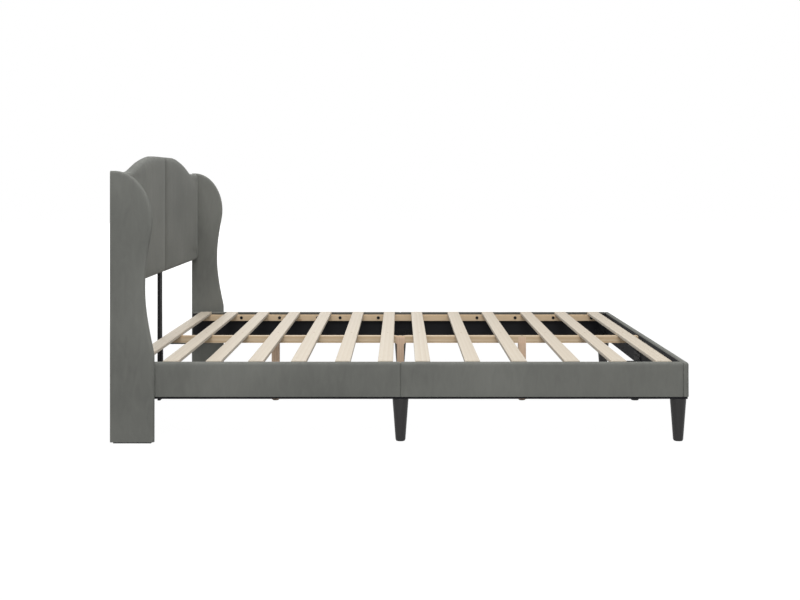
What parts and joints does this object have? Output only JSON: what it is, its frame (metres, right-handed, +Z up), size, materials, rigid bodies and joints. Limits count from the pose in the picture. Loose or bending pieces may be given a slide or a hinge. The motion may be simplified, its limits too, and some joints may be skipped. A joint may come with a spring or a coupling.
{
  "type": "upholstered bed",
  "caption": "Grey velvet platform bed with a crowned headboard between shaped wings, padded rails, tapered legs and a slatted base with a centre beam.",
  "frame": {"origin": "on the floor, midway along and across the bed", "axes": "+X from head to foot, +Y to the left side as seen by someone lying in the bed, +Z up"},
  "size_m": [2.13, 1.628, 1.066],
  "materials": {
    "velvet": "short grey velvet over thin foam, satin nap",
    "black_cloth": "black non-woven backing cloth",
    "plywood": "raw plywood, covered",
    "poplar": "planed pale poplar, unvarnished",
    "pine": "planed pine, unvarnished",
    "dark_wood": "black stain, satin lacquer",
    "black_steel": "black powder coat",
    "black_plastic": "moulded matt polyethylene",
    "dark_screw_steel": "blackened steel"
  },
  "bodies": {
    "root": {"beam_foot_bracket": "black_steel", "beam_head_bracket": "black_steel", "bracket_bolts": "dark_screw_steel", "bracket_screws": "dark_screw_steel", "centre_beam_foot": "pine", "centre_beam_head": "pine", "centre_foot_leg": "dark_wood", "centre_leg_bolts": "dark_screw_steel", "centre_leg_foot": "pine", "centre_leg_head": "pine", "centre_leg_middle": "pine", "floor_glides": "black_plastic", "foot_rail_board": "plywood", "foot_rail_cover": "velvet", "foot_rail_lining": "black_cloth", "headboard_back_cloth": "black_cloth", "headboard_board": "plywood", "headboard_pad": "velvet", "headboard_post": "black_steel", "ledger_bolts": "dark_screw_steel", "left_foot_leg": "dark_wood", "left_ledger_foot": "pine", "left_ledger_head": "pine", "left_ledger_middle": "pine", "left_middle_leg": "dark_wood", "left_rail_foot_board": "plywood", "left_rail_foot_cover": "velvet", "left_rail_head_board": "plywood", "left_rail_head_cover": "velvet", "left_wing_board": "plywood", "left_wing_cover": "velvet", "leg_bolts": "dark_screw_steel", "leg_brackets": "black_steel", "right_foot_leg": "dark_wood", "right_ledger_foot": "pine", "right_ledger_head": "pine", "right_ledger_middle": "pine", "right_middle_leg": "dark_wood", "right_rail_foot_board": "plywood", "right_rail_foot_cover": "velvet", "right_rail_head_board": "plywood", "right_rail_head_cover": "velvet", "right_wing_board": "plywood", "right_wing_cover": "velvet", "side_rail_linings": "black_cloth", "slat_01": "poplar", "slat_02": "poplar", "slat_03": "poplar", "slat_04": "poplar", "slat_05": "poplar", "slat_06": "poplar", "slat_07": "poplar", "slat_08": "poplar", "slat_09": "poplar", "slat_10": "poplar", "slat_11": "poplar", "slat_12": "poplar", "slat_13": "poplar", "slat_screws": "dark_screw_steel", "wing_bolts": "dark_screw_steel"}
  },
  "joints": []
}
